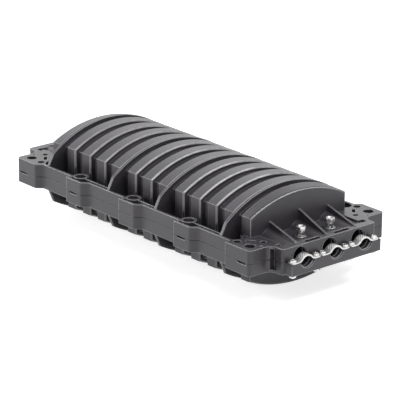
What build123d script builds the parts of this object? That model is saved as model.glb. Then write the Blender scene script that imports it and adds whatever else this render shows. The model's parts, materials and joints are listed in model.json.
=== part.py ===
from build123d import *
import os
from math import asin, cos, sin, sqrt

# Horizontal fibre splice closure: two ribbed shells bolted together round a stack of hinged trays.
# Sizes are in millimetres. X runs along the closure, Y across it and Z up.
# Heights are written from the parting plane; save() lifts every piece so that Z = 0 is the underside.

# Flange
lug_end = 205.0            # middle to the end face of a corner lug
lug_half = 99.5            # middle to the outer face of lugs and side bosses
wall_half = lug_half - 7.0  # middle to the plain side wall between bosses
lug_face = 33.2            # plain outer face of a lug on its curved side
lug_step = 39.3            # length of a lug on its stepped side
cover_flange = 15.3        # height of the cover's flange above the parting plane
base_flange = 13.9         # depth of the base's flange below it
parting_gap = 0.4          # left between the shells by the gasket
rim = 3.0                  # thickness of the flange rim
deck_drop = 2.5            # rim top down to the deck before each port block
trough_floor = 5.0         # floor of the side troughs above the parting plane
stay_thick = 1.8           # upright web from each bolt tower to the next fin
stay_drop = 0.8
lug_round = 4.0
notch_round = 9.0          # hollow corner between lug and port block
seam_bevel = 0.5

# Port blocks and ledges
block_front = 223.2
block_half = 68.5
block_round = 3.0
ledge_front = 235.0
ledge_half = 65.5
ledge_depth = 13.0
port_pitch = 42.7
port_radius = 10.5
port_rise = 2.8            # axis of the bores above the parting plane
port_rib = 0.9             # height of the ribs that grip the sealing tape
port_rib_width = 1.6
port_rib_pitch = 5.5
port_rib_count = 2
tunnel_radius = 14.0
tunnel_rise = 6.5          # axis height of a tunnel at the dome
tunnel_front_rise = 1.3    # and at the rim of the block
valley_front = 213.5
valley_half = 57.5
web_width = 2.2
web_high = 33.0            # crest of the middle web on the end wall
web_low = 28.0             # crest of the outer webs
side_slot_x = 210.0        # upright pocket in the block's side
side_slot_width = 7.0
side_slot_depth = 3.5
front_slot = (5.4, 22.0, 3.0)   # pocket in the front rim before each end bolt

# Domes
rib_pitch = 27.7
band_width = 15.6
band_count = 13
dome_half = lug_half - 28.7
shoulder = 36.8
cover_top = 57.1
base_shoulder = 36.0
base_bottom = 51.5
groove_depth = 5.5
wall = 3.0
band_bevel = 1.6
end_round = 3.5
end_drop = 3.0             # fall of the cover's crest over each end band
foot_flat = 0.6            # taken off the lowest bands so that the closure stands level
fin_width = 3.6
fin_proud = 0.3
fin_past = 3.2             # its near face beyond the band's near edge
fin_shoulder_y = dome_half + 12.2
fin_foot_y = wall_half - 2.5
fin_bands = (0, 4, 7, 11)  # a fin stands on the near edge of these bands

# Side bosses
boss_pitch = 95.7
boss_step = -15.5          # stepped side of the middle boss
boss_face = 25.0
boss_curve = 10.0
well_x = 8.0               # bolt well from the stepped side
well_y = lug_half - 15.3
well_radius = 6.5
well_ring = 2.4
well_floor = 3.0
pry_slot = (13.0, 3.5, 1.8)     # along X, deep, high; in the base's top edge
pry_lug_x = 192.5
pry_boss_x = 12.5

# Lug holes, from the lug's end and outer faces
hang_x, hang_y, hang_radius = lug_end - 12.8, lug_half - 12.1, 6.2
guide_x, guide_y, guide_radius = lug_end - 32.2, lug_half - 10.9, 4.3
post_x, post_y, post_radius = lug_end - 13.0, lug_half - 31.5, 3.3
kidney_x, kidney_y = lug_end - 24.4, lug_half - 23.3
kidney_length, kidney_width, kidney_turn = 11.0, 4.0, 40.0
gap_x, gap_y, gap_radius = lug_end - 43.5, lug_half - 18.0, 7.5
tri_x, tri_y, tri_radius = lug_end - 4.8, lug_half - 21.1, 2.4
square_x, square_y, square_side = block_front - 12.6, block_half - 8.3, 7.6
lug_pocket_floor = 4.0
lug_band = 4.0             # solid top between a lug's step and the deck

# Bolts
bolt_radius = 3.0
bolt_clearance = 0.3
bolt_tip = 10.5            # below the parting plane
end_bolt_x = 200.2
end_bolt_collar = 4.3
end_bolt_collar_height = 4.5
hex_flats = 10.0
hex_height = 5.0
side_hex_height = 4.0
washer_radius = 6.5
side_washer_radius = 6.1
washer_thick = 1.6
spring_washer_radius = 5.4
insert_radius = 4.5
insert_length = 12.0
thread_gap = 0.05

# Gasket
gasket_y = dome_half + 4.7
gasket_x = 179.0
gasket_width = 4.0
gasket_depth = 2.8
gasket_round = 10.0
port_seal_thick = 2.5

# Cable saddles
saddle_x = 229.5
saddle_width = 10.0
saddle_half = 21.0
saddle_thick = 1.5
saddle_crest = 5.8         # underside of the hump above the ledge
saddle_span = 12.5         # middle to where the hump meets the flat foot
saddle_round = 3.0
saddle_screw_y = 16.6
screw_radius = 2.0
screw_head_radius = 3.8
screw_head_height = 2.6
nut_flats = 7.0
nut_height = 3.2
screw_tip = 1.2
cross_width, cross_length, cross_depth = 1.0, 4.2, 1.2
machine_gap = 0.15          # round a screw in its clearance hole

# Bracket inside the base
bracket_half_length = 153.0
bracket_half_width = dome_half - 18.8
bracket_thick = 1.5
bracket_fold = 8.0
pillar_x, pillar_y, pillar_radius = 4 * rib_pitch, 28.0, 5.0
bracket_screw_depth = 9.0
tie_slot = (48.0, bracket_half_width - 9.0, 16.0, 4.0)    # pitch, offset, length, width
clamp_x = 145.0
clamp_radius = 5.0
clamp_height = 12.0
clamp_washer_radius = 6.0
clamp_bore = 10.0

# Splice trays
tray_count = 4
tray_rise = 10.0           # hinge to hinge, up and back
tray_length = 190.0
tray_half_width = bracket_half_width
tray_height = 8.0
tray_wall = 1.5
tray_floor = 1.5
tray_gap = 2.0
tray_stub = 1.9            # foot under the free end
tray_lead = 4.5            # hinge axis to the tray's end wall
tray_round = 12.0
hinge_x = -95.0            # hinge of the lowest tray
hinge_z = -17.0
pin_radius = 1.5
pin_running = 0.05
eye_radius = 3.2
eye_inner, eye_outer = 31.0, 35.5
cheek_inner, cheek_outer = 36.0, 40.0
cheek_round = 3.5
cheek_back = 130.0
foot_front = -98.0
hinge_foot = 2.5
pin_half = 41.0
spool_radius = 29.0
spool_x = 47.0
comb_length, comb_width = 50.0, 46.0
comb_ribs = 13
comb_height = 4.2
lid_thick = 1.2
lid_notch = 9.0
gate_y, gate_width = 20.0, 12.0
foot_length = 8.0
comb_base = 0.8
comb_rib = 0.9
spring_split = 1.2

bottom = base_bottom - foot_flat
port_ys = [port_pitch * n for n in (-1, 0, 1)]
end_bolt_ys = [-port_pitch / 2, port_pitch / 2]
boss_steps = [boss_step + boss_pitch * n for n in (-1, 0, 1)]
band_starts = [rib_pitch * (n - (band_count - 1) / 2) - band_width / 2 for n in range(band_count)]
dome_end = band_starts[-1] + band_width
deck = cover_flange - deck_drop
bracket_top = hinge_z - tray_height / 2 - tray_gap
pillar_top = bracket_top - bracket_thick
well_points = [(s * (step + well_x), -s * well_y) for step in boss_steps for s in (1, -1)]
clamp_points = [(s * clamp_x, y) for s in (-1, 1) for y in port_ys]
end_bolt_points = [(s * end_bolt_x, y) for s in (-1, 1) for y in end_bolt_ys]
saddle_points = [(s * saddle_x, y) for s in (-1, 1) for y in port_ys]
saddle_screw_points = [(x, y + t * saddle_screw_y) for x, y in saddle_points for t in (-1, 1)]
hinge_points = [(hinge_x - n * tray_rise, hinge_z + n * tray_rise) for n in range(tray_count)]


def save(node, shape):
    """Writes one piece, lifted so that the closure stands on Z = 0."""
    export_step(Pos(0, 0, bottom) * shape, f"parts/{node}.step")


def corners(x, y):
    return [(a * x, b * y) for a in (-1, 1) for b in (-1, 1)]


def slab(x0, x1, y0, y1, z0, z1):
    """A block between two opposite corners."""
    return Pos((x0 + x1) / 2, (y0 + y1) / 2, (z0 + z1) / 2) * Box(x1 - x0, y1 - y0, z1 - z0)


def rod(x, y, z0, z1, radius):
    """An upright cylinder."""
    return Pos(x, y, (z0 + z1) / 2) * Cylinder(radius, z1 - z0)


def bar_x(y, z, x0, x1, radius):
    """A cylinder along X."""
    return Pos((x0 + x1) / 2, y, z) * Rot(0, 90, 0) * Cylinder(radius, x1 - x0)


def bar_y(x, z, y0, y1, radius):
    """A cylinder along Y."""
    return Pos(x, (y0 + y1) / 2, z) * Rot(90, 0, 0) * Cylinder(radius, y1 - y0)


def hexagon(x, y, z0, z1, flats):
    return Pos(x, y, z0) * extrude(RegularPolygon(flats / 2, 6, major_radius=False), z1 - z0)


def group(shapes):
    """Separate solids that share one node."""
    return Compound(children=[s.solid() for s in shapes])


def half_outline(inset):
    """Flange outline along the -Y side, from the middle of one end to the middle of the other."""
    front, side = block_front - inset, block_half - inset
    end, outer, plain = lug_end - inset, lug_half - inset, wall_half - inset
    notch_x, notch_y = lug_end + notch_round, block_half + notch_round
    reach = notch_round + inset
    edges = []
    here = [(-front, 0)]

    def line(x, y):
        edges.append(Line(here[0], (x, y)))
        here[0] = (x, y)

    def notch(x, y):
        sign = 1 if here[0][0] > 0 else -1
        mid = (sign * (notch_x - reach * sqrt(0.5)), -notch_y + reach * sqrt(0.5))
        edges.append(ThreePointArc(here[0], mid, (x, y)))
        here[0] = (x, y)

    def curve(x, y):
        (x0, y0), half = here[0], (x - here[0][0]) / 2
        edges.append(Bezier((x0, y0), (x0 + half, y0), (x - half, y), (x, y)))
        here[0] = (x, y)

    line(-front, -side)
    line(-notch_x, -side)
    notch(-end, -notch_y)
    line(-end, -outer)
    line(-lug_end + lug_face - inset / 2, -outer)
    curve(-lug_end + lug_face + boss_curve - inset / 2, -plain)
    for step in boss_steps:
        line(step + inset, -plain)
        line(step + inset, -outer)
        line(step + boss_face - inset / 2, -outer)
        curve(step + boss_face + boss_curve - inset / 2, -plain)
    line(lug_end - lug_step + inset, -plain)
    line(lug_end - lug_step + inset, -outer)
    line(end, -outer)
    line(end, -notch_y)
    notch(notch_x, -side)
    line(front, -side)
    line(front, 0)
    return edges


def outline(inset):
    """The whole flange outline: the same half twice, turned end for end, with rounded outer corners."""
    edges = half_outline(inset)
    face = make_face(edges + [Rot(0, 0, 180) * e for e in edges])
    for x, y, radius in ((lug_end, lug_half, lug_round), (block_front, block_half, block_round)):
        at = [v for v in face.vertices() if abs(abs(v.X) - x + inset) < 0.01 and abs(abs(v.Y) - y + inset) < 0.01]
        face = fillet(at, max(radius - inset, 0.5))
    return face


def dome_face(half, side, top, inset, proud=0.0):
    """Section across a dome, moved inwards by inset: upright sides, then one arc over the top."""
    radius = (half ** 2 + (top - side) ** 2) / (2 * (top - side))
    centre = top - radius
    half, radius = half - inset, radius - inset + proud
    side = centre + sqrt(radius ** 2 - half ** 2)
    arc = ThreePointArc((-half, side), (0, centre + radius), (half, side))
    sides = [Line((half, side), (half, 0)), Line((half, 0), (-half, 0)), Line((-half, 0), (-half, side))]
    return Plane.YZ * make_face([arc] + sides)


def fin_face(side, top, foot):
    """Section of a fin: it follows the dome and runs down past its shoulder to the rim."""
    radius = (dome_half ** 2 + (top - side) ** 2) / (2 * (top - side)) + fin_proud
    centre = top + fin_proud - radius
    edge = centre + sqrt(radius ** 2 - fin_shoulder_y ** 2)
    arc = ThreePointArc((-fin_shoulder_y, edge), (0, top + fin_proud), (fin_shoulder_y, edge))
    chain = Polyline((fin_shoulder_y, edge), (fin_foot_y, foot), (fin_foot_y, 0), (-fin_foot_y, 0),
                     (-fin_foot_y, foot), (-fin_shoulder_y, edge))
    return Plane.YZ * make_face([arc] + chain.edges())


def band(side, top, start, end_side, drop):
    """One raised band of the dome; its edges are bevelled. An end band falls by drop and has a rounded end."""
    near = dome_face(dome_half, side, top - (drop if end_side < 0 else 0), 0)
    far = dome_face(dome_half, side, top - (drop if end_side > 0 else 0), 0)
    body = loft([near, Pos(band_width, 0, 0) * far], ruled=True)
    for x, x_side in ((0, -1), (band_width, 1)):
        rim_edges = [e for e in body.edges() if abs(e.center().X - x) < 0.01 and e.center().Z > 1]
        body = fillet(rim_edges, end_round) if x_side == end_side else chamfer(rim_edges, band_bevel)
    return Pos(start, 0, 0) * body


def dome(side, top, foot, drop):
    """Outside of a dome, standing on the parting plane: core, bands and fins."""
    core = extrude(dome_face(dome_half, side, top, groove_depth), dome_end - 1, both=True)
    bodies = []
    for n, start in enumerate(band_starts):
        end_side = -1 if n == 0 else 1 if n == band_count - 1 else 0
        bodies.append(band(side, top, start, end_side, drop))
    for n in fin_bands:
        fin = extrude(fin_face(side, top, foot), fin_width)
        bodies.append(Pos(fin_near(n) - fin_width, 0, 0) * fin)
    return core + bodies


def cavity(side, top):
    """Inside of a dome, with a channel behind each band."""
    room = extrude(dome_face(dome_half, side, top, groove_depth + wall), dome_end - wall, both=True)
    channel = extrude(dome_face(dome_half, side, top, wall), band_width - 2 * wall)
    return room + [Pos(start + wall, 0, 0) * channel for start in band_starts]


def lug_pockets(height):
    """Hollows in the corner lugs and in the corners of the port blocks."""
    depth = height - lug_pocket_floor + 1
    cuts = []
    for places, radius in ((corners(guide_x, guide_y), guide_radius), (corners(post_x, post_y), post_radius),
                           (corners(gap_x, gap_y), gap_radius)):
        cuts += [rod(x, y, lug_pocket_floor, height + 1, radius) for x, y in places]
    for x, y in corners(kidney_x, kidney_y):
        turn = -kidney_turn if x * y > 0 else kidney_turn
        cuts.append(Pos(x, y, lug_pocket_floor) * extrude(Rot(0, 0, turn) * SlotOverall(kidney_length, kidney_width), depth))
    for x, y in corners(tri_x, tri_y):
        cuts.append(Pos(x, y, lug_pocket_floor) * extrude(RegularPolygon(tri_radius, 3), depth))
    for x, y in corners(square_x, square_y):
        cuts.append(Pos(x, y, lug_pocket_floor) * extrude(Rectangle(square_side, square_side), depth))
    return cuts


def fin_near(n):
    """X of the near face of the fin on a band."""
    return band_starts[n] + band_width + fin_past


def stays(height):
    """Upright webs in the troughs, from each bolt tower to the next fin."""
    webs = []
    for x, y in well_points:
        s = -1 if y > 0 else 1
        reach = min(s * (fin_near(n) - x) for n in fin_bands if s * (fin_near(n) - x) > well_radius)
        x0, x1 = sorted((x + s * (well_radius + well_ring / 2), x + s * reach))
        webs.append(slab(x0, x1, y - stay_thick / 2, y + stay_thick / 2, trough_floor - 1, height - stay_drop))
    return webs


def flange(height, low, ring_points):
    """Flange with rim, deck and pockets, and a raised ring at each of the given points."""
    body = extrude(Pos(0, 0, low) * outline(0), height - low)
    floor = height - deck_drop
    inner = extrude(Pos(0, 0, trough_floor) * outline(rim), height)
    reach = lug_end - lug_step - lug_band
    for y0, y1 in ((-lug_half, groove_depth - dome_half), (dome_half - groove_depth, lug_half)):
        body -= inner & slab(-reach, reach, y0, y1, trough_floor, height + 1)
    body -= slab(-valley_front, valley_front, -valley_half, valley_half, floor, height + 1)
    within = extrude(Pos(0, 0, trough_floor - 1) * outline(0), height - trough_floor + 1)
    body += [rod(x, y, trough_floor - 1, height, well_radius + well_ring) & within for x, y in ring_points]
    body += stays(height)
    cuts = lug_pockets(height)
    cuts += [rod(x, y, low - 1, height + 1, hang_radius) for x, y in corners(hang_x, hang_y)]
    for x, y in corners(side_slot_x, block_half):
        half = side_slot_width / 2
        cuts.append(slab(x - half, x + half, y - side_slot_depth, y + side_slot_depth, low - 1, floor))
    return body - cuts


def both_ends(shape):
    return [shape, mirror(shape, about=Plane.YZ)]


def port_roofs(height, low):
    """Sloping tunnels over the ports, each with a web along its crest, at both ends."""
    slope = (tunnel_rise - tunnel_front_rise) / (valley_front - dome_end)
    start = dome_end - wall
    length = valley_front + 1 - start
    bodies = []
    for y in port_ys:
        plane = Plane(origin=(start - 1, y, tunnel_rise + slope * (wall + 1)), z_dir=Vector(1, 0, -slope))
        tube = extrude(plane * Circle(tunnel_radius), length + 5)
        bodies += both_ends(tube & slab(start, start + length, y - tunnel_radius, y + tunnel_radius, low, height + 10))
        crest = web_high if y == 0 else web_low
        profile = Polyline((start, height - 5), (start, crest), (dome_end + 1, crest),
                           (block_front - rim, height), (block_front - rim, height - 5), close=True)
        web = extrude(Plane.XZ * make_face(profile), web_width / 2, both=True)
        bodies += both_ends(Pos(0, y, 0) * web)
    return bodies


def port_spaces(front, rise):
    """Bores of the ports with their ribs, and the ring seats of the gasket."""
    start = dome_end - wall - 1
    cuts = []
    for y in port_ys:
        space = bar_x(y, rise, start, front + 1, port_radius)
        for n in range(port_rib_count):
            x = ledge_front - port_rib_pitch * (n + 0.5) if front > block_front else block_front - port_rib_pitch * (n + 0.5)
            half = port_rib_width / 2
            rib = bar_x(y, rise, x - half, x + half, port_radius + 1)
            space -= rib - bar_x(y, rise, start, front, port_radius - port_rib)
        half = gasket_width / 2
        seat = bar_x(y, rise, gasket_x - half, gasket_x + half, port_radius + port_seal_thick)
        cuts += both_ends(space) + both_ends(seat)
    return cuts


def cover_shell():
    body = flange(cover_flange, parting_gap, well_points) + port_roofs(cover_flange, parting_gap)
    body += dome(shoulder, cover_top, cover_flange, end_drop) - slab(-300, 300, -150, 150, -1, parting_gap)
    cuts = [cavity(shoulder, cover_top)] + port_spaces(block_front, port_rise)
    cuts += [rod(x, y, well_floor, cover_flange + 1, well_radius) for x, y in well_points]
    for x, y in well_points + end_bolt_points:
        cuts.append(rod(x, y, 0, cover_flange, bolt_radius + bolt_clearance))
    slot_x, slot_y, slot_z = front_slot
    mid = (valley_front + block_front) / 2
    for x, y in end_bolt_points:
        s = 1 if x > 0 else -1
        cuts.append(slab(s * mid - slot_x / 2, s * mid + slot_x / 2, y - slot_y / 2, y + slot_y / 2,
                         cover_flange - slot_z, cover_flange + 1))
    return body - cuts


def gasket_ring(low, high):
    """Rounded frame of the gasket's width between two heights."""
    x, y, half = gasket_x, gasket_y, gasket_width / 2
    outer = RectangleRounded(2 * (x + half), 2 * (y + half), gasket_round + half)
    inner = RectangleRounded(2 * (x - half), 2 * (y - half), gasket_round - half)
    return Pos(0, 0, low) * extrude(outer - inner, high - low)


def pillars():
    """Posts inside the base that carry the bracket."""
    body = extrude(dome_face(dome_half, base_shoulder, base_bottom, wall / 2), band_width / 2, both=True)
    posts = []
    for x, y in corners(pillar_x, pillar_y):
        posts.append(rod(x, y, -pillar_top, base_bottom, pillar_radius) & Pos(x, 0, 0) * body)
    return posts


def base_shell():
    """Built upside down like the cover, then turned over."""
    body = flange(base_flange, 0, well_points + end_bolt_points) + port_roofs(base_flange, 0)
    body += dome(base_shoulder, base_bottom, base_flange, 0)
    for s in (-1, 1):
        body += slab(s * (ledge_front + block_front - 1) / 2 - (ledge_front - block_front + 1) / 2,
                     s * (ledge_front + block_front - 1) / 2 + (ledge_front - block_front + 1) / 2,
                     -ledge_half, ledge_half, 0, ledge_depth)
    body -= [cavity(base_shoulder, base_bottom)] + port_spaces(ledge_front, -port_rise)
    body += pillars()
    cuts = [gasket_ring(-1, gasket_depth), slab(-300, 300, -150, 150, bottom, base_bottom + 5)]
    cuts += [rod(x, y, -1, insert_length, insert_radius) for x, y in well_points + end_bolt_points]
    cuts += [rod(x, y, -1, ledge_depth + 1, screw_radius + machine_gap) for x, y in saddle_screw_points]
    cuts += [rod(x, y, -pillar_top - 1, -pillar_top + bracket_screw_depth, screw_radius) for x, y in corners(pillar_x, pillar_y)]
    length, deep, high = pry_slot
    pry_xs = [-pry_lug_x, boss_steps[0] + pry_boss_x, boss_steps[2] + pry_boss_x, pry_lug_x]
    for x in pry_xs:
        for s in (1, -1):
            cuts.append(slab(s * x - length / 2, s * x + length / 2, -s * lug_half - deep, -s * lug_half + deep, -1, high))
    return mirror(body - cuts, about=Plane.XY)


def perimeter_gasket():
    """Frame with a half ring under each port."""
    body = gasket_ring(-gasket_depth, parting_gap)
    half = gasket_width / 2
    for s in (-1, 1):
        for y in port_ys:
            x = s * gasket_x
            ring = bar_x(y, port_rise, x - half, x + half, port_radius + port_seal_thick)
            body += ring & slab(x - half, x + half, y - 2 * port_radius, y + 2 * port_radius, -2 * port_radius, parting_gap)
            body -= bar_x(y, port_rise, x - half - 1, x + half + 1, port_radius)
    return body


def cover_port_gaskets():
    rings = []
    half = gasket_width / 2
    for s in (-1, 1):
        for y in port_ys:
            x = s * gasket_x
            ring = bar_x(y, port_rise, x - half, x + half, port_radius + port_seal_thick)
            ring -= bar_x(y, port_rise, x - half - 1, x + half + 1, port_radius)
            rings.append(ring & slab(x - half, x + half, y - 2 * port_radius, y + 2 * port_radius, parting_gap, 2 * port_radius))
    return group(rings)


def cable_saddle(x, y):
    """Strap over one port: a hump that runs out into a flat foot on each side."""
    radius = (saddle_span ** 2 + saddle_crest ** 2) / (4 * saddle_crest)
    centre = saddle_crest - radius
    turn = asin(saddle_span / (2 * radius))

    def side_line(over):
        """One face of the hump: a foot arc, the top arc and a foot arc; over is its height above the underside."""
        top, foot = radius + over, radius - over
        ends = [(-saddle_span, over), (-top * sin(turn), centre + top * cos(turn)),
                (top * sin(turn), centre + top * cos(turn)), (saddle_span, over)]
        middles = [(-saddle_span + foot * sin(turn / 2), radius - foot * cos(turn / 2)), (0, centre + top),
                   (saddle_span - foot * sin(turn / 2), radius - foot * cos(turn / 2))]
        return [ThreePointArc(a, m, b) for a, m, b in zip(ends, middles, ends[1:])]

    edges = side_line(0) + side_line(saddle_thick)
    for s in (-1, 1):
        edges += Polyline((s * saddle_span, 0), (s * saddle_half, 0), (s * saddle_half, saddle_thick),
                          (s * saddle_span, saddle_thick)).edges()
    strap = extrude(Plane.YZ * Pos(y, 0) * make_face(edges), saddle_width / 2, both=True)
    tips = [e for e in strap.edges().filter_by(Axis.Z) if abs(e.center().Y - y) > saddle_half - 0.1]
    strap = Pos(x, 0, 0) * fillet(tips, saddle_round)
    holes = [rod(x, y + t * saddle_screw_y, -1, saddle_thick + 1, screw_radius + machine_gap) for t in (-1, 1)]
    return strap - holes


def pan_screw(x, y, seat, tip, radius):
    """Screw with a flat round head and a cross recess."""
    top = seat + screw_head_height
    body = rod(x, y, tip, seat + 1, radius) + rod(x, y, seat, top, screw_head_radius)
    for length, width in ((cross_length, cross_width), (cross_width, cross_length)):
        body -= slab(x - length / 2, x + length / 2, y - width / 2, y + width / 2, top - cross_depth, top + 1)
    return body


def saddle_screws():
    tip = -ledge_depth - nut_height - screw_tip
    return group([pan_screw(x, y, saddle_thick, tip, screw_radius) for x, y in saddle_screw_points])


def saddle_nuts():
    low, high = -ledge_depth - nut_height, -ledge_depth
    nuts = [hexagon(x, y, low, high, nut_flats) - rod(x, y, low - 1, high + 1, screw_radius) for x, y in saddle_screw_points]
    return group(nuts)


def end_bolts():
    """Hexagon bolts with a plain collar under the head."""
    seat = deck + 2 * washer_thick
    head = seat + end_bolt_collar_height
    bolts = []
    for x, y in end_bolt_points:
        bolt = rod(x, y, -bolt_tip, seat + 1, bolt_radius) + rod(x, y, seat, head + 1, end_bolt_collar)
        bolts.append(bolt + hexagon(x, y, head, head + hex_height, hex_flats))
    return group(bolts)


def end_bolt_flat_washers():
    top = deck + washer_thick
    return group([rod(x, y, deck, top, washer_radius) - rod(x, y, deck - 1, top + 1, bolt_radius + bolt_clearance)
                  for x, y in end_bolt_points])


def end_bolt_spring_washers():
    """Split rings pressed flat."""
    low, high = deck + washer_thick, deck + 2 * washer_thick
    rings = []
    for x, y in end_bolt_points:
        ring = rod(x, y, low, high, spring_washer_radius) - rod(x, y, low - 1, high + 1, bolt_radius + bolt_clearance / 2)
        rings.append(ring - slab(x, x + 2 * spring_washer_radius, y - spring_split / 2, y + spring_split / 2, low - 1, high + 1))
    return group(rings)


def side_bolts():
    seat = well_floor + washer_thick
    return group([rod(x, y, -bolt_tip, seat + 1, bolt_radius) + hexagon(x, y, seat, seat + side_hex_height, hex_flats)
                  for x, y in well_points])


def side_bolt_washers():
    top = well_floor + washer_thick
    return group([rod(x, y, well_floor, top, side_washer_radius) - rod(x, y, 0, top + 1, bolt_radius + bolt_clearance)
                  for x, y in well_points])


def bolt_inserts():
    """Threaded sleeves let into the base."""
    return group([rod(x, y, -insert_length, 0, insert_radius) - rod(x, y, -insert_length - 1, 1, bolt_radius + thread_gap)
                  for x, y in well_points + end_bolt_points])


def tray_bracket():
    """Plate with folded-down edges and slots for ties."""
    length, width = 2 * bracket_half_length, 2 * bracket_half_width
    body = slab(-bracket_half_length, bracket_half_length, -bracket_half_width, bracket_half_width, pillar_top, bracket_top)
    for s in (-1, 1):
        y = s * (bracket_half_width - bracket_thick / 2)
        body += slab(-bracket_half_length, bracket_half_length, y - bracket_thick / 2, y + bracket_thick / 2,
                     bracket_top - bracket_fold, bracket_top)
    for x, y in corners(pillar_x, pillar_y):
        body -= rod(x, y, pillar_top - 1, bracket_top + 1, screw_radius + machine_gap)
    slot_x, slot_y, slot_length, slot_width = tie_slot
    for n in (-1, 0, 1):
        for s in (-1, 1):
            slot = extrude(SlotOverall(slot_length, slot_width), bracket_thick + 2)
            body -= Pos(n * slot_x, s * slot_y, pillar_top - 1) * slot
    return body


def bracket_screws():
    """Four screws into the base's posts; two of them also hold the hinge block."""
    screws = []
    for x, y in corners(pillar_x, pillar_y):
        seat = bracket_top + (hinge_foot if x < 0 else 0)
        screws.append(pan_screw(x, y, seat, pillar_top - bracket_screw_depth + 1, screw_radius))
    return group(screws)


def clamp_posts():
    """Posts on the bracket that take the strength members of the cables."""
    low, high = bracket_top, bracket_top + clamp_height
    return group([rod(x, y, low, high, clamp_radius) - rod(x, y, high - clamp_bore, high + 1, screw_radius)
                  for x, y in clamp_points])


def clamp_washers():
    low = bracket_top + clamp_height
    return group([rod(x, y, low, low + washer_thick, clamp_washer_radius)
                  - rod(x, y, low - 1, low + washer_thick + 1, screw_radius + machine_gap) for x, y in clamp_points])


def clamp_screws():
    high = bracket_top + clamp_height
    return group([pan_screw(x, y, high + washer_thick, high - clamp_bore + 1, screw_radius) for x, y in clamp_points])


def tray_hinge_block():
    """Foot with two stepped cheeks, one step for each tray."""
    body = slab(-cheek_back, foot_front, -cheek_outer, cheek_outer, bracket_top, bracket_top + hinge_foot)
    for s in (-1, 1):
        y0, y1 = sorted((s * cheek_inner, s * cheek_outer))
        for x, z in hinge_points:
            body += slab(-cheek_back, x + cheek_round, y0, y1, bracket_top, z)
            body += slab(-cheek_back, x, y0, y1, bracket_top, z + cheek_round)
            body += bar_y(x, z, y0, y1, cheek_round)
    body -= [bar_y(x, z, -cheek_outer - 1, cheek_outer + 1, pin_radius) for x, z in hinge_points]
    body -= [rod(-pillar_x, s * pillar_y, bracket_top - 1, bracket_top + hinge_foot + 1, screw_radius + machine_gap) for s in (-1, 1)]
    return body


def tray_outline(inset):
    return RectangleRounded(tray_length - 2 * inset, 2 * (tray_half_width - inset), tray_round - inset)


def splice_tray(x, z):
    """Shallow tray with two winding spools, hinge eyes at one end and two feet at the other."""
    low, mid = z - tray_height / 2, x + tray_lead + tray_length / 2
    floor = low + tray_floor
    body = Pos(mid, 0, low) * extrude(tray_outline(0), tray_height)
    body -= Pos(mid, 0, floor) * extrude(tray_outline(tray_wall), tray_height)
    for s in (-1, 1):
        spool = rod(mid + s * spool_x, 0, floor - 0.5, low + tray_height - 1, spool_radius)
        spool -= rod(mid + s * spool_x, 0, floor, low + tray_height, spool_radius - tray_wall)
        body += spool - slab(mid - comb_length / 2 - 1, mid + comb_length / 2 + 1, -comb_width / 2, comb_width / 2,
                             floor, low + tray_height)
        gate = s * gate_y
        body -= slab(x + tray_lead - 1, x + tray_lead + 2 * tray_wall, gate - gate_width / 2, gate + gate_width / 2,
                     floor, low + tray_height + 1)
        eye_mid = s * (eye_inner + eye_outer) / 2
        half = (eye_outer - eye_inner) / 2
        body += bar_y(x, z, eye_mid - half, eye_mid + half, eye_radius)
        body += slab(x, x + tray_lead + tray_wall, eye_mid - half, eye_mid + half, z - eye_radius, z + eye_radius)
        foot_y = s * (tray_half_width - tray_wall)
        foot_x = mid + tray_length / 2 - tray_round - foot_length / 2
        if z > hinge_z:
            body += slab(foot_x - foot_length / 2, foot_x + foot_length / 2, foot_y - tray_wall, foot_y + tray_wall,
                         low - tray_stub, low + 1)
    body -= bar_y(x, z, -eye_outer - 1, eye_outer + 1, pin_radius + pin_running)
    return body


def sleeve_holder(x, z):
    """Comb of thin ribs that grips the splice sleeves, on the tray's floor."""
    low, mid = z - tray_height / 2 + tray_floor, x + tray_lead + tray_length / 2
    body = slab(mid - comb_length / 2, mid + comb_length / 2, -comb_width / 2, comb_width / 2, low, low + comb_base)
    pitch = (comb_width - comb_rib) / (comb_ribs - 1)
    for n in range(comb_ribs):
        y = -comb_width / 2 + comb_rib / 2 + n * pitch
        body += slab(mid - comb_length / 2, mid + comb_length / 2, y - comb_rib / 2, y + comb_rib / 2, low, low + comb_height)
    return body


def tray_lid(x, z):
    """Clear sheet on the top tray, with a finger notch."""
    high, mid = z + tray_height / 2, x + tray_lead + tray_length / 2
    body = Pos(mid, 0, high) * extrude(tray_outline(0), lid_thick)
    return body - rod(mid + tray_length / 2, 0, high - 1, high + lid_thick + 1, lid_notch)


os.makedirs("parts", exist_ok=True)

save("base_shell", base_shell())
save("cover_shell", cover_shell())
save("perimeter_gasket", perimeter_gasket())
save("cover_port_gaskets", cover_port_gaskets())
for n, (x, y) in enumerate(saddle_points):
    save(f"cable_saddle_{n + 1}", cable_saddle(x, y))
save("saddle_screws", saddle_screws())
save("saddle_nuts", saddle_nuts())
save("end_bolts", end_bolts())
save("end_bolt_flat_washers", end_bolt_flat_washers())
save("end_bolt_spring_washers", end_bolt_spring_washers())
save("side_bolts", side_bolts())
save("side_bolt_washers", side_bolt_washers())
save("bolt_inserts", bolt_inserts())
save("tray_bracket", tray_bracket())
save("bracket_screws", bracket_screws())
save("clamp_posts", clamp_posts())
save("clamp_washers", clamp_washers())
save("clamp_screws", clamp_screws())
save("tray_hinge_block", tray_hinge_block())
for n, (x, z) in enumerate(hinge_points):
    save(f"splice_tray_{n + 1}", splice_tray(x, z))
    save(f"sleeve_holder_{n + 1}", sleeve_holder(x, z))
    save(f"tray_pin_{n + 1}", bar_y(x, z, -pin_half, pin_half, pin_radius))
save("tray_lid", tray_lid(*hinge_points[-1]))
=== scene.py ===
import bpy
import bmesh
import json
import math
import numpy as np
from mathutils import Matrix, Vector


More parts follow.
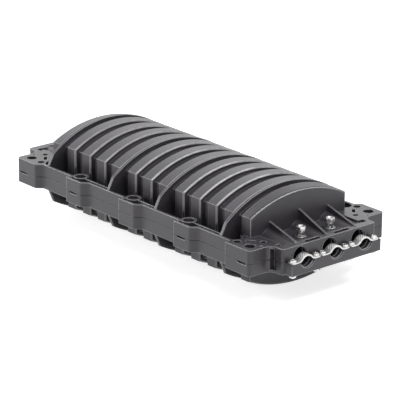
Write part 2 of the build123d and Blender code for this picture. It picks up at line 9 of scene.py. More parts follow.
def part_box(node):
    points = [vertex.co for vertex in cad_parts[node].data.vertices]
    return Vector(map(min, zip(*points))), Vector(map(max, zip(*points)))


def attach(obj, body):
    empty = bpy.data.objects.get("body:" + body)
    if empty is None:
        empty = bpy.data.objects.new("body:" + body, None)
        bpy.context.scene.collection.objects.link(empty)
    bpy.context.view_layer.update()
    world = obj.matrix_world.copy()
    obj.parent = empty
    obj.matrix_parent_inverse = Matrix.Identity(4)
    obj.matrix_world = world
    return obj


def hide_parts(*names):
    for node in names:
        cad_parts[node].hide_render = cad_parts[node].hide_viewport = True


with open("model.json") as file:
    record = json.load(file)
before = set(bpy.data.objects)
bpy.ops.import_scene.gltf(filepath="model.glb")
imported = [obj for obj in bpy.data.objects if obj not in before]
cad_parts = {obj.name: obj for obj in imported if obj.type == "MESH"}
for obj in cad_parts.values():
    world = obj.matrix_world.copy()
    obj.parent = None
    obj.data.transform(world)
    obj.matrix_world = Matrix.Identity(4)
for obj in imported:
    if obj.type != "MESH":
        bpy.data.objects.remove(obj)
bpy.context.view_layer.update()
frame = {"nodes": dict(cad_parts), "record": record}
nodes = frame["nodes"]
print("frame loaded,", len(nodes), "nodes")

mm = 0.001
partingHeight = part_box("bolt_inserts")[1].z          # the inserts end on the parting plane
portYs = (-42.7, 0.0, 42.7)


# Materials

def newMaterial(name):
    material = bpy.data.materials.new(name)
    material.use_nodes = True
    tree = material.node_tree
    return material, tree, tree.nodes["Principled BSDF"]


def addNode(tree, kind, **inputs):
    node = tree.nodes.new(kind)
    for key, value in inputs.items():
        node.inputs[key.replace("_", " ")].default_value = value
    return node


# Noise on the object's own coordinates; stretch squeezes it along each axis.
def noiseTexture(tree, coords, scale, detail=4.0, roughness=0.55, stretch=None):
    noise = addNode(tree, "ShaderNodeTexNoise", Scale=scale, Detail=detail, Roughness=roughness)
    source = coords
    if stretch:
        mapping = tree.nodes.new("ShaderNodeMapping")
        mapping.inputs["Scale"].default_value = stretch
        tree.links.new(coords, mapping.inputs["Vector"])
        source = mapping.outputs["Vector"]
    tree.links.new(source, noise.inputs["Vector"])
    return noise.outputs["Fac"]


# Colour ramp from (place, colour) stops.
def ramp(tree, source, stops):
    node = tree.nodes.new("ShaderNodeValToRGB")
    elements = node.color_ramp.elements
    while len(elements) < len(stops):
        elements.new(0.5)
    for element, (place, colour) in zip(elements, stops):
        element.position = place
        element.color = (*colour, 1.0)
    tree.links.new(source, node.inputs["Fac"])
    return node.outputs["Color"]


# Grey ramp from (place, tone) stops, for masks.
def toneRamp(tree, source, stops):
    return ramp(tree, source, [(place, (tone, tone, tone)) for place, tone in stops])


# Map range: start to end becomes low to high, and stays there beyond.
def spread(tree, source, low, high, start=0.0, end=1.0):
    node = tree.nodes.new("ShaderNodeMapRange")
    for key, value in (("From Min", start), ("From Max", end), ("To Min", low), ("To Max", high)):
        node.inputs[key].default_value = value
    tree.links.new(source, node.inputs["Value"])
    return node.outputs["Result"]


# One maths step on sockets or plain numbers.
def reckon(tree, operation, *terms):
    node = tree.nodes.new("ShaderNodeMath")
    node.operation = operation
    for place, term in enumerate(terms):
        if isinstance(term, float):
            node.inputs[place].default_value = term
        else:
            tree.links.new(term, node.inputs[place])
    return node.outputs[0]


# Size of one coordinate of a vector, once a number is taken from it.
def distanceAlong(tree, vector, axis, start):
    parts = tree.nodes.new("ShaderNodeSeparateXYZ")
    tree.links.new(vector, parts.inputs[0])
    return reckon(tree, "ABSOLUTE", reckon(tree, "SUBTRACT", parts.outputs[axis], start))


def blendColour(tree, factor, first, second):
    node = tree.nodes.new("ShaderNodeMix")
    node.data_type = "RGBA"
    tree.links.new(factor, node.inputs[0])
    tree.links.new(first, node.inputs[6])
    node.inputs[7].default_value = (*second, 1)
    return node.outputs[2]


# Rounded normals, and a mask for outer edges: white where the rounded normal leaves the face's own
# and the material beneath is cut off to one side, which it isn't at inner corners.
def edgeMask(tree, radius):
    soft = tree.nodes.new("ShaderNodeBevel")
    soft.samples = 8
    soft.inputs["Radius"].default_value = radius
    face = tree.nodes.new("ShaderNodeNewGeometry")
    turned = tree.nodes.new("ShaderNodeVectorMath")
    turned.operation = "DOT_PRODUCT"
    tree.links.new(soft.outputs["Normal"], turned.inputs[0])
    tree.links.new(face.outputs["Normal"], turned.inputs[1])
    rounded = toneRamp(tree, turned.outputs["Value"], [(0.95, 1), (0.997, 0)])
    inward = tree.nodes.new("ShaderNodeAmbientOcclusion")
    inward.inside = True
    inward.only_local = True
    inward.samples = 12
    inward.inputs["Distance"].default_value = radius * 1.6
    outer = toneRamp(tree, inward.outputs["AO"], [(0.92, 1), (0.994, 0)])
    return soft.outputs["Normal"], reckon(tree, "MULTIPLY", rounded, outer)


# Grain and rounded edges on the shader's normal.
def roughenNormal(tree, shader, height, softNormal, strength, distance):
    bump = addNode(tree, "ShaderNodeBump", Strength=strength, Distance=distance)
    tree.links.new(height, bump.inputs["Height"])
    tree.links.new(softNormal, bump.inputs["Normal"])
    tree.links.new(bump.outputs["Normal"], shader.inputs["Normal"])


shellLook = {
    "dark": (0.030, 0.0275, 0.032),
    "light": (0.047, 0.043, 0.050),
    # paler colour on the edges: partly rubbed wear, partly a painted highlight standing in for the light
    # lines along them
    "paleWearAndHighlight": (0.340, 0.330, 0.345),
    "roughLow": 0.30,
    "roughHigh": 0.46,
    "cloudScale": 13.0,
    "flowScale": 55.0,
    "flowStretch": (0.25, 1.0, 1.6),        # drawn out along the closure, as the melt ran
    "grainScale": 1500.0,
    "grainDepth": 0.03,
    "edgeRadius": 1.2 * mm,
    "seamFree": (0.8 * mm, 1.6 * mm),      # wear and painted highlight come in over this distance from the parting plane
    "flangeFree": (13.5 * mm, 17 * mm),    # and the painted highlight on the bands' bevels over this one
    "bevelLean": [(0.56, 0), (0.64, 1), (0.78, 1), (0.86, 0)],
    "patchScale": 120.0,
    "patchTones": [(0.30, 0.60), (0.62, 1.0)],
    "wornGloss": 0.6,
}


# Painted highlight: one on the bevels of the bands, whose normals lean to X as much as outwards, and only
# well off the flange; it stands in for the light line along the bands' edges.
def bandBevelHighlight(tree, offSeam, look):
    face = tree.nodes.new("ShaderNodeNewGeometry")
    lean = distanceAlong(tree, face.outputs["True Normal"], "X", 0.0)
    window = toneRamp(tree, lean, look["bevelLean"])
    return reckon(tree, "MULTIPLY", window, spread(tree, offSeam, 0.0, 1.0, *look["flangeFree"]))


# Moulded black plastic: clouds and flow streaks in tone and gloss, a fine grain, outer edges painted paler
# partly as rubbed wear and partly as a painted highlight, and the bands' bevels painted paler as a painted
# highlight.
def shellPlastic(look=shellLook):
    material, tree, shader = newMaterial("shellPlastic")
    coords = tree.nodes.new("ShaderNodeTexCoord").outputs["Object"]
    clouds = noiseTexture(tree, coords, look["cloudScale"], 5.0, 0.6)
    streaks = noiseTexture(tree, coords, look["flowScale"], 4.0, 0.6, look["flowStretch"])
    both = reckon(tree, "MULTIPLY", clouds, spread(tree, streaks, 0.75, 1.25))
    body = ramp(tree, both, [(0.30, look["dark"]), (0.68, look["light"])])
    softNormal, edge = edgeMask(tree, look["edgeRadius"])
    patches = toneRamp(tree, noiseTexture(tree, coords, look["patchScale"], 4.0, 0.6), look["patchTones"])
    offSeam = distanceAlong(tree, coords, "Z", partingHeight)
    edges = reckon(tree, "MULTIPLY", edge, spread(tree, offSeam, 0.0, 1.0, *look["seamFree"]))
    # painted highlight and wear together: outer edges off the seam and the bands' bevels, broken up in
    # patches
    wearAndHighlight = reckon(tree, "MULTIPLY", reckon(tree, "MAXIMUM", edges, bandBevelHighlight(tree, offSeam, look)), patches)
    tree.links.new(blendColour(tree, wearAndHighlight, body, look["paleWearAndHighlight"]), shader.inputs["Base Color"])
    gloss = spread(tree, both, look["roughLow"], look["roughHigh"])
    rough = reckon(tree, "MULTIPLY", gloss, spread(tree, wearAndHighlight, 1.0, look["wornGloss"]))
    tree.links.new(rough, shader.inputs["Roughness"])
    grain = noiseTexture(tree, coords, look["grainScale"], 3.0, 0.5)
    roughenNormal(tree, shader, grain, softNormal, look["grainDepth"], 0.2 * mm)
    return material


# Metal: fine marks move the roughness and the bump, slow stains move the colour, edges are rubbed bright.
def metalLook(name, colour, rough, stain=0.3, scale=900.0, stretch=None, depth=0.12):
    material, tree, shader = newMaterial(name)
    coords = tree.nodes.new("ShaderNodeTexCoord").outputs["Object"]
    marks = noiseTexture(tree, coords, scale, 5.0, 0.65, stretch)
    stains = noiseTexture(tree, coords, scale * 0.15, 4.0, 0.55)
    dull = tuple(c * (1 - stain) for c in colour)
    softNormal, edge = edgeMask(tree, 0.25 * mm)
    body = ramp(tree, stains, [(0.36, dull), (0.60, colour)])
    bright = tuple(min(1.0, c * 1.12) for c in colour)
    tree.links.new(blendColour(tree, edge, body, bright), shader.inputs["Base Color"])
    shader.inputs["Metallic"].default_value = 1.0
    tree.links.new(spread(tree, marks, rough * 0.6, rough * 1.5), shader.inputs["Roughness"])
    roughenNormal(tree, shader, marks, softNormal, depth, 0.1 * mm)
    return material


# Moulded plastic or rubber: clouds of tone, specks of dust in the gloss, a fine grain and soft edges.
def plasticLook(name, colour, rough, grain=1200.0, depth=0.06, edgeLift=1.15, alpha=None):
    material, tree, shader = newMaterial(name)
    coords = tree.nodes.new("ShaderNodeTexCoord").outputs["Object"]
    tone = noiseTexture(tree, coords, 24.0, 5.0, 0.55)
    darker = tuple(c * 0.86 for c in colour)
    softNormal, edge = edgeMask(tree, 0.3 * mm)
    lifted = tuple(min(1.0, c * edgeLift) for c in colour)
    body = ramp(tree, tone, [(0.33, darker), (0.66, colour)])
    tree.links.new(blendColour(tree, edge, body, lifted), shader.inputs["Base Color"])
    dust = noiseTexture(tree, coords, 260.0, 4.0, 0.6)
    tree.links.new(spread(tree, dust, rough * 0.8, min(1.0, rough * 1.25)), shader.inputs["Roughness"])
    roughenNormal(tree, shader, noiseTexture(tree, coords, grain, 3.0, 0.5), softNormal, depth, 0.2 * mm)
    if alpha is not None:
        shader.inputs["Alpha"].default_value = alpha
        material.surface_render_method = "BLENDED"
    return material


finishes = {
    "shell_plastic": shellPlastic(),
    "seal_rubber": plasticLook("sealRubber", (0.020, 0.020, 0.022), 0.72, 700.0, 0.12, edgeLift=1.4),
    "zinc_steel": metalLook("zincSteel", (0.66, 0.655, 0.65), 0.25, scale=2200.0, depth=0.05),
    "strap_steel": metalLook("strapSteel", (0.66, 0.655, 0.65), 0.38, stain=0.2, scale=1600.0, depth=0.08),
    "pin_steel": metalLook("pinSteel", (0.75, 0.75, 0.75), 0.2, stretch=(1, 0.05, 1)),
    "bracket_steel": metalLook("bracketSteel", (0.40, 0.405, 0.41), 0.46, scale=300.0, stretch=(0.08, 1, 1)),
    "insert_brass": metalLook("insertBrass", (0.78, 0.58, 0.28), 0.3),
    "post_brass": metalLook("postBrass", (0.78, 0.58, 0.28), 0.28),
    "hinge_plastic": plasticLook("hingePlastic", (0.050, 0.050, 0.055), 0.5, edgeLift=1.6),
    "tray_plastic": plasticLook("trayPlastic", (0.64, 0.65, 0.64), 0.42),
    "holder_plastic": plasticLook("holderPlastic", (0.74, 0.74, 0.72), 0.45),
    "lid_clear": plasticLook("lidClear", (0.86, 0.90, 0.92), 0.12, alpha=0.28),
}
slotOf = {s["node"]: s["material_slot"] for s in frame["record"]["subparts"]}
for nodeName, obj in nodes.items():
    obj.data.materials.clear()
    obj.data.materials.append(finishes[slotOf[nodeName]])
print("finishes ready,", len(finishes))


# Surface tools; all points in millimetres from the parting plane

# Each grid is (rows, columns, 3). A closed grid joins its last column to its first.
def surfaceObject(name, grids, finish, body, replaced, sharpDegrees=34):
    points, faces, start = [], [], 0
    for grid, closed in grids:
        rows, cols = grid.shape[:2]
        index = np.arange(rows * cols).reshape(rows, cols) + start
        ahead = np.roll(index, -1, axis=1)
        here, ahead = (index, ahead) if closed else (index[:, :-1], index[:, 1:])
        quads = np.stack([here[:-1], ahead[:-1], ahead[1:], here[1:]], axis=-1)
        faces.append(quads.reshape(-1, 4))
        points.append(grid.reshape(-1, 3))
        start += rows * cols
    mesh = bpy.data.meshes.new(name)
    placed = np.concatenate(points) * mm + np.array([0, 0, partingHeight])
    mesh.from_pydata(placed.tolist(), [], np.concatenate(faces).tolist())
    work = bmesh.new()
    work.from_mesh(mesh)
    bmesh.ops.remove_doubles(work, verts=work.verts, dist=4e-6)
    bmesh.ops.dissolve_degenerate(work, edges=work.edges, dist=1e-7)
    bmesh.ops.recalc_face_normals(work, faces=work.faces)
    work.to_mesh(mesh)
    work.free()
    mesh.materials.append(finishes[finish])
    mesh.polygons.foreach_set("use_smooth", [True] * len(mesh.polygons))
    mesh.set_sharp_from_angle(angle=math.radians(sharpDegrees))
    obj = bpy.data.objects.new(name, mesh)
    bpy.context.scene.collection.objects.link(obj)
    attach(obj, body)
    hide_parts(*replaced)
    return obj


def around(steps):
    return np.linspace(0, 2 * np.pi, steps, endpoint=False)


# Rows of radius and height, each a number or an array over the angle, carried once round an upright axis.
def carriedRound(rows, centre, angle):
    r = np.stack([np.broadcast_to(row[0], angle.shape) for row in rows])
    z = np.stack([np.broadcast_to(row[1], angle.shape) for row in rows])
    grid = np.stack([centre[0] + r * np.cos(angle), centre[1] + r * np.sin(angle), z], -1)
    return grid, True


# Distance from the axis to a hexagon of the given width across flats, over the angle.
def hexReach(flats, angle, turn=0.0):
    return flats / 2 / np.cos(np.mod(angle - turn, np.pi / 3) - np.pi / 6)


# Height of a cone chamfer: level inside the circle, then falling at 30 degrees with the radius.
def chamferFall(r, circle):
    return np.clip(r - circle, 0, None) * math.tan(math.radians(30))


headShape = {
    "rings": np.concatenate([np.linspace(0, 0.62, 8), np.linspace(0.66, 1.16, 10)]) / 2,
    "chamferFrom": 0.46,
    "dishRadius": 0.33,
    "dishPower": 6,
}


# Hexagon head: rings that stop at the hexagon. Height: the top less the cone chamfer, less a dish that
# fades by a sixth power of the radius. The shape's sizes are shares of the width across flats.
def hexHead(centre, low, high, flats, dish, turn, shape=headShape):
    angle = around(72)
    reach = hexReach(flats, angle, turn)
    rows = []
    for ring in shape["rings"] * flats:
        r = np.minimum(ring, reach)
        sunk = np.clip(1 - (r / (flats * shape["dishRadius"])) ** shape["dishPower"], 0, 1)
        rows.append((r, high - chamferFall(r, flats * shape["chamferFrom"]) - dish * sunk))
    rows.append((reach, np.full_like(reach, low)))
    rows.append((0.0, low))
    return carriedRound(rows, centre, angle)


# Round shank with a screw thread: the radius falls from its crest by a triangle wave of height and angle.
def threadedShank(centre, tip, top, radius, pitch, plainFrom):
    threadDepth = 0.55 * pitch
    pointRadius, pointHeight = 0.62 * radius, 0.3 * radius
    angle = around(24)
    heights = np.arange(tip + pointHeight, plainFrom, pitch / 5)
    wave = np.abs(np.mod(heights[:, None] / pitch - angle[None] / (2 * np.pi), 1.0) * 2 - 1)
    crest = radius - threadDepth * wave
    rows = [(0.0, tip), (pointRadius, tip)]
    rows += list(zip(crest, heights))
    rows += [(radius, plainFrom + pitch / 2), (radius, top), (0.0, top)]
    return carriedRound(rows, centre, angle)


# Flat ring: a section with bevelled inner and rounded outer edges, carried round.
def flatWasher(centre, low, high, inner, outer, edge=0.25):
    bulge = 0.3 * edge
    rows = [(inner, low + edge), (inner, high - edge), (inner + edge, high), (outer - edge, high),
            (outer - bulge, high - bulge), (outer, high - edge), (outer, low + edge),
            (outer - bulge, low + bulge), (outer - edge, low), (inner + edge, low), (inner, low + edge)]
    return carriedRound(rows, centre, around(56))


# Split ring: a four-sided section carried from one lip to the other while it climbs by rise;
# at both lips it shrinks to its middle, which closes the ends.
def splitWasher(centre, low, high, inner, outer, gapAngle, rise, turn):
    steps, slant = 60, 0.15
    top = high - rise
    middle = np.array([(inner + outer) / 2, (low + top) / 2])
    section = np.array([(inner, low), (inner, top), (outer, top - slant), (outer, low + slant)])
    angle = np.pad(np.linspace(gapAngle, 2 * np.pi - gapAngle, steps) + turn, 1, mode="edge")
    climb = np.pad(np.linspace(0, rise, steps), 1, mode="edge")
    scale = np.pad(np.ones(steps), 1)
    r = middle[0] + (section[None, :, 0] - middle[0]) * scale[:, None]
    z = middle[1] + (section[None, :, 1] - middle[1]) * scale[:, None] + climb[:, None]
    a = angle[:, None]
    return np.stack([centre[0] + r * np.cos(a), centre[1] + r * np.sin(a), z], -1), True


panShape = {
    "rings": np.concatenate([np.linspace(0, 0.62, 16), np.linspace(0.68, 0.9, 4)]),
    "dome": 0.45,
    "sideSoft": 0.16,
    "endSoft": 0.2,
    "shoulder": [(0.97, 0.62), (1.0, 0.95)],       # share of the radius, depth below the top
}


# One inside a bar of the given length and width, and nought outside, with soft borders.
def softBar(across, along, width, length, shape):
    return np.minimum(np.clip((width / 2 - np.abs(across)) / shape["sideSoft"] + 0.5, 0, 1),
                      np.clip((length / 2 - np.abs(along)) / shape["endSoft"] + 0.5, 0, 1))


# Pan head. Height: the top less a dome that grows with the square of the radius, less a cross of two
# soft bars that gets shallower towards the rim.
def panHead(centre, low, high, radius, cross, turn, shape=panShape):
    length, width, depth = cross
    angle = around(72)
    rows = []
    for ring in shape["rings"] * radius:
        x, y = ring * np.cos(angle - turn), ring * np.sin(angle - turn)
        bars = np.maximum(softBar(x, y, width, length, shape), softBar(y, x, width, length, shape))
        rows.append((ring, high - shape["dome"] * (ring / radius) ** 2 - depth * bars * (1 - ring / radius)))
    rows += [(radius * share, high - drop) for share, drop in shape["shoulder"]]
    rows += [(radius, low), (0.0, low)]
    return carriedRound(rows, centre, angle)


# Nut: a hexagonal ring with cone chamfers above and below, and a round bore.
def hexNut(centre, low, high, flats, bore, turn):
    circle, edge = 0.47 * flats, 0.2
    angle = around(72)
    reach = hexReach(flats, angle, turn)
    fall = chamferFall(reach, circle)
    level = np.minimum(circle, reach)
    rows = [(bore, low + edge), (bore, high - edge), (bore + edge, high), (level, high),
            (reach, high - fall), (reach, low + fall), (level, low), (bore + edge, low), (bore, low + edge)]
    return carriedRound(rows, centre, angle)


print("surface tools ready")


# Bolts of the cover

endBolt = {
    "places": [(s * 200.2, y) for s in (-1, 1) for y in (-21.35, 21.35)],
    "deck": 12.8,
    "washer": 1.6,
    "washerInner": 3.3,
    "washerOuter": 6.5,
    "springInner": 3.15,
    "springOuter": 5.4,
    "springGap": 0.11,           # half the gap, in radians
    "springRise": 0.3,
    "springTurn": -0.9,
    "collarRadius": 4.3,
    "collarHeight": 4.5,
    "collarEdge": 0.3,
    "collarFlare": 0.5,
    "flareFrom": 0.9,            # below the head
    "flareTo": 0.2,
    "overlap": 0.1,              # of the collar in the head
    "flats": 10.0,
    "headHeight": 5.0,
    "dish": 1.6,
    "tip": -10.5,
    "radius": 3.0,
    "pitch": 1.0,
    "plainFrom": 8.0,
    "turns": (0.35, 0.95, 0.15, 0.62),
}

sideBolt = {
    "places": [(s * (-15.5 + 95.7 * n + 8.0), -s * 84.2) for n in (-1, 0, 1) for s in (1, -1)],
    "floor": 3.0,
    "washer": 1.6,
    "washerOuter": 6.1,
    "headHeight": 4.0,
    "dish": 0.7,
    "plainFrom": 1.0,
    "turns": (0.1, 0.8, 0.5, 0.3, 0.9, 0.65),
}


shankIntoHead = 0.2


# End bolts stand on a flat and a split washer; their round collar flares out under the hexagon.
def makeEndBolts(bolt=endBolt):
    low = bolt["deck"]
    middle, seat = low + bolt["washer"], low + 2 * bolt["washer"]
    head = seat + bolt["collarHeight"]
    waist, edge = bolt["collarRadius"], bolt["collarEdge"]
    flare, inside = waist + bolt["collarFlare"], head + bolt["overlap"]
    collar = [(0.0, seat), (waist - edge, seat), (waist, seat + edge), (waist, head - bolt["flareFrom"]),
              (flare, head - bolt["flareTo"]), (flare, inside), (0.0, inside)]
    bolts, flats, springs = [], [], []
    for place, turn in zip(bolt["places"], bolt["turns"]):
        bolts.append(threadedShank(place, bolt["tip"], seat + shankIntoHead, bolt["radius"], bolt["pitch"],
                                   bolt["plainFrom"]))
        bolts.append(carriedRound(collar, place, around(56)))
        bolts.append(hexHead(place, head, head + bolt["headHeight"], bolt["flats"], bolt["dish"], turn))
        flats.append(flatWasher(place, low, middle, bolt["washerInner"], bolt["washerOuter"]))
        springs.append(splitWasher(place, middle, seat, bolt["springInner"], bolt["springOuter"],
                                   bolt["springGap"], bolt["springRise"], bolt["springTurn"] + turn))
    surfaceObject("endBoltSet", bolts, "zinc_steel", "cover", ["end_bolts"])
    surfaceObject("endFlatWashers", flats, "zinc_steel", "cover", ["end_bolt_flat_washers"])
    surfaceObject("endSpringWashers", springs, "zinc_steel", "cover", ["end_bolt_spring_washers"])


def makeSideBolts(bolt=sideBolt, shank=endBolt):
    seat = bolt["floor"] + bolt["washer"]
    bolts, washers = [], []
    for place, turn in zip(bolt["places"], bolt["turns"]):
        bolts.append(threadedShank(place, shank["tip"], seat + shankIntoHead, shank["radius"], shank["pitch"],
                                   bolt["plainFrom"]))
        bolts.append(hexHead(place, seat, seat + bolt["headHeight"], shank["flats"], bolt["dish"], turn))
        washers.append(flatWasher(place, bolt["floor"], seat, shank["washerInner"], bolt["washerOuter"]))
    surfaceObject("sideBoltSet", bolts, "zinc_steel", "cover", ["side_bolts"])
    surfaceObject("sideWashers", washers, "zinc_steel", "cover", ["side_bolt_washers"])


makeEndBolts()
makeSideBolts()
print("cover bolts ready")


# Cable saddles with their screws and nuts

saddle = {
    "x": 229.5,
    "halfWidth": 5.0,
    "half": 21.0,
    "thick": 1.5,
    "crest": 5.8,
    "span": 12.5,
    "tipRound": 3.0,
    "holeY": 16.6,
    "holeRadius": 2.15,
    "knurlPitch": 2.3,
    "knurlHeight": 0.34,
    "knurlReach": 9.5,           # along the hump from its middle, fading over the last knurlFade
    "knurlFade": 2.0,
    "knurlMargin": 0.7,          # free of knurl along the edges, fading over marginFade
    "marginFade": 0.5,
}

saddleScrew = {
    "headRadius": 3.8,
    "headHeight": 2.6,
    "cross": (4.2, 1.1, 1.9),
    "tip": -17.4,
    "radius": 1.95,
    "pitch": 0.7,
    "nutFlats": 7.0,
    "nutLow": -16.2,
    "nutHigh": -13.0,
    "boreGap": 0.05,
    "plainFrom": -11.0,
    "firstTurn": 0.4,
    "turnStep": 0.7,
}


# Height and slope of the strap's underside across the port: two foot arcs and a top arc of one radius,
# which is (span squared plus crest squared) over four times the crest.
def strapLine(y, strap):
    radius = (strap["span"] ** 2 + strap["crest"] ** 2) / (4 * strap["crest"])
    off = np.abs(y)
    toFoot = strap["span"] - off
    topRise = np.sqrt(np.clip(radius ** 2 - off ** 2, 1e-9, None))
    footFall = np.sqrt(np.clip(radius ** 2 - toFoot ** 2, 1e-9, None))
    onTop = off < strap["span"] / 2
    height = np.where(onTop, strap["crest"] - radius + topRise, radius - footFall)
    slope = np.where(onTop, -y / topRise, -np.sign(y) * toFoot / footFall)
    return height, slope


# Hump: the section across the strap follows the line over the port; the upper face carries raised diamonds,
# each a product of two rectified sines along the diagonals, which die out towards the edges and the feet.
def strapHump(x, y, strap):
    along = np.linspace(-strap["span"], strap["span"], 127)
    across = np.linspace(-1, 1, 45) * strap["halfWidth"]
    height, slope = strapLine(along, strap)
    length = np.sqrt(1 + slope ** 2)
    ny, nz = -slope / length, 1 / length
    path = np.concatenate([[0], np.cumsum(np.hypot(np.diff(along), np.diff(height)))])
    path = path - path[-1] / 2
    diagonal = strap["knurlPitch"] * math.sqrt(2) / np.pi
    a, b = (path[:, None] + across) / diagonal, (path[:, None] - across) / diagonal
    ends = np.clip((strap["knurlReach"] - np.abs(path)) / strap["knurlFade"], 0, 1)
    margin = strap["halfWidth"] - strap["knurlMargin"]
    sides = np.clip((margin - np.abs(across)) / strap["marginFade"], 0, 1)
    lift = strap["thick"] + strap["knurlHeight"] * np.abs(np.sin(a) * np.sin(b)) * ends[:, None] * sides
    px = np.broadcast_to(x + across, lift.shape)
    py, pz = y + along[:, None] + 0 * lift, height[:, None] + 0 * lift
    top = np.stack([px, py + ny[:, None] * lift, pz + nz[:, None] * lift], -1)
    under = np.stack([px, py, pz], -1)
    grids = [(top, False), (under, False)]
    for col in (0, -1):
        grids.append((np.stack([under[:, col], (under[:, col] + top[:, col]) / 2, top[:, col]]), False))
    return grids


# Foot: a plate between the screw hole and a rim that is straight beside the hump and rounded at the tip.
def strapFoot(x, y, side, strap):
    w, r, far = strap["halfWidth"], strap["tipRound"], strap["half"]
    inside = np.stack([np.linspace(-w, w, 45), np.full(45, strap["span"])], -1)
    quarter = np.linspace(0, np.pi / 2, 8)[1:]
    right = np.stack([np.full(5, w), np.linspace(strap["span"], far - r, 6)[1:]], -1)
    rightArc = np.stack([w - r + r * np.cos(quarter), far - r + r * np.sin(quarter)], -1)
    tip = np.stack([np.linspace(w - r, r - w, 6)[1:], np.full(5, far)], -1)
    leftArc = np.stack([r - w - r * np.sin(quarter), far - r + r * np.cos(quarter)], -1)
    left = np.stack([np.full(4, -w), np.linspace(far - r, strap["span"], 6)[1:-1]], -1)
    rim = np.concatenate([inside, right, rightArc, tip, leftArc, left])
    middle = np.array([0.0, strap["holeY"]])
    out = rim - middle
    hole = middle + out / np.linalg.norm(out, axis=1)[:, None] * strap["holeRadius"]
    share = np.linspace(0, 1, 7)[:, None, None]
    sheet = hole[None] * (1 - share) + rim[None] * share
    px, py = x + sheet[..., 0], y + side * sheet[..., 1]
    grids = [(np.stack([px, py, np.full_like(px, z)], -1), True) for z in (0.0, strap["thick"])]
    levels = np.array([0.0, strap["thick"]])[:, None]
    outside = np.concatenate([rim[len(inside) - 1:], rim[:1]])
    for edge, closed in ((hole, True), (outside, False)):
        ex, ey = x + edge[:, 0] + 0 * levels, y + side * edge[:, 1] + 0 * levels
        grids.append((np.stack([ex, ey, levels + 0 * ex], -1), closed))
    return grids


def makeSaddles(strap=saddle, screw=saddleScrew):
    screws, nuts = [], []
    seat, radius = strap["thick"], screw["radius"]
    middles = [(s * strap["x"], y) for s in (-1, 1) for y in portYs]
    for number, (x, y) in enumerate(middles, start=1):
        grids = strapHump(x, y, strap) + strapFoot(x, y, 1, strap) + strapFoot(x, y, -1, strap)
        surfaceObject(f"saddleStrap{number}", grids, "strap_steel", "base", [f"cable_saddle_{number}"])
        for t in (-1, 1):
            place = (x, y + t * strap["holeY"])
            turn = screw["firstTurn"] + number * screw["turnStep"] + t
            screws.append(panHead(place, seat, seat + screw["headHeight"], screw["headRadius"],
                                  screw["cross"], turn))
            screws.append(threadedShank(place, screw["tip"], seat + shankIntoHead, radius, screw["pitch"],
                                        screw["plainFrom"]))
            nuts.append(hexNut(place, screw["nutLow"], screw["nutHigh"], screw["nutFlats"],
                               radius + screw["boreGap"], turn))
    surfaceObject("saddleScrewSet", screws, "zinc_steel", "base", ["saddle_screws"])
    surfaceObject("saddleNutSet", nuts, "zinc_steel", "base", ["saddle_nuts"])


makeSaddles()
print("saddles ready")


# Floor, light and camera

cameraFit = {
    "azimuth": 49.244,
    "elevation": 19.298,
    "roll": 0.511,
    "distance": 2.841855,
    "focalPixels": 2501.773,
    "imagePixels": 400.0,
    "target": (0.013134, -0.003755, 0.0),
}


# Camera on a sphere round the target; roll turns it about its own axis.
def makeCamera(fit=cameraFit):
    a, e, r = (math.radians(fit[k]) for k in ("azimuth", "elevation", "roll"))
    back = Vector((math.sin(a) * math.cos(e), -math.cos(a) * math.cos(e), math.sin(e)))
    right = Vector((math.cos(a), math.sin(a), 0))
    up = back.cross(right)
    rolledRight = right * math.cos(r) + up * math.sin(r)
    rolledUp = up * math.cos(r) - right * math.sin(r)
    data = bpy.data.cameras.new("camera")
    data.lens = fit["focalPixels"] / fit["imagePixels"] * data.sensor_width
    data.clip_end = 50
    obj = bpy.data.objects.new("camera", data)
    place = Vector(fit["target"]) + Vector((0, 0, partingHeight)) + back * fit["distance"]
    obj.matrix_world = Matrix((
        (rolledRight.x, rolledUp.x, back.x, place.x),
        (rolledRight.y, rolledUp.y, back.y, place.y),
        (rolledRight.z, rolledUp.z, back.z, place.z),
        (0, 0, 0, 1)))
    bpy.context.scene.collection.objects.link(obj)
    bpy.context.scene.camera = obj


# One where a camera, glossy or transmission ray looks, else nought.
def seenMask(tree):
    path = tree.nodes.new("ShaderNodeLightPath")
    glossy = reckon(tree, "MAXIMUM", path.outputs["Is Camera Ray"], path.outputs["Is Glossy Ray"])
    return reckon(tree, "MAXIMUM", glossy, path.outputs["Is Transmission Ray"])


floorLook = {"size": 6.0, "colour": (0.8, 0.8, 0.8), "roughness": 0.9, "glow": 0.75, "below": 0.5 * mm}


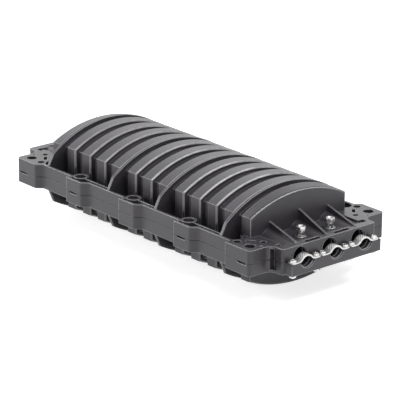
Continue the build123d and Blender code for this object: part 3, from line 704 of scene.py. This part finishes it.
# Pale floor: it keeps the shadow, and glows a little for the eye and for gloss so that it reads as white.
def whiteFloor(look=floorLook):
    mesh = bpy.data.meshes.new("floor")
    size = look["size"]
    corners = [(-size, -size, 0), (size, -size, 0), (size, size, 0), (-size, size, 0)]
    mesh.from_pydata(corners, [], [(0, 1, 2, 3)])
    obj = bpy.data.objects.new("floor", mesh)
    obj.location.z = -look["below"]
    bpy.context.scene.collection.objects.link(obj)
    material, tree, shader = newMaterial("paleFloor")
    shader.inputs["Base Color"].default_value = (*look["colour"], 1)
    shader.inputs["Roughness"].default_value = look["roughness"]
    shader.inputs["Emission Color"].default_value = (1, 1, 1, 1)
    tree.links.new(spread(tree, seenMask(tree), 0.0, look["glow"]), shader.inputs["Emission Strength"])
    mesh.materials.append(material)


lampPlan = {
    "behind": {"place": (-1.5, 0.6, 1.1), "aim": (0, 0, 0.05), "size": (2.4, 1.2), "power": 11},
    # a strip along Y where the bands' near bevels mirror it to the camera
    "above": {"place": (0.75, 0.20, 1.15), "aim": (0, 0, 0.05), "size": (1.7, 0.25), "power": 13.5},
    "left": {"place": (-1.1, -1.1, 0.5), "aim": (-0.1, 0, 0.05), "size": (0.9, 0.7), "power": 13},
}


def makeLamps(plan=lampPlan):
    for name, lamp in plan.items():
        data = bpy.data.lights.new(name, "AREA")
        data.shape = "RECTANGLE"
        data.size, data.size_y = lamp["size"]
        data.energy = lamp["power"]
        obj = bpy.data.objects.new(name, data)
        obj.location = lamp["place"]
        aim = Vector(lamp["aim"]) - Vector(lamp["place"])
        obj.rotation_euler = aim.to_track_quat("-Z", "Y").to_euler()
        bpy.context.scene.collection.objects.link(obj)


worldLook = {"light": 0.28, "seen": 1.0}


# Even pale surroundings, white to the eye and in gloss.
def whiteWorld(look=worldLook):
    world = bpy.data.worlds.new("studio")
    bpy.context.scene.world = world
    world.use_nodes = True
    tree = world.node_tree
    background = tree.nodes["Background"]
    background.inputs["Color"].default_value = (1, 1, 1, 1)
    tree.links.new(spread(tree, seenMask(tree), look["light"], look["seen"]), background.inputs["Strength"])


makeCamera()
whiteFloor()
makeLamps()
whiteWorld()
bpy.context.scene.view_settings.view_transform = "Standard"
print("floor, light and camera ready")
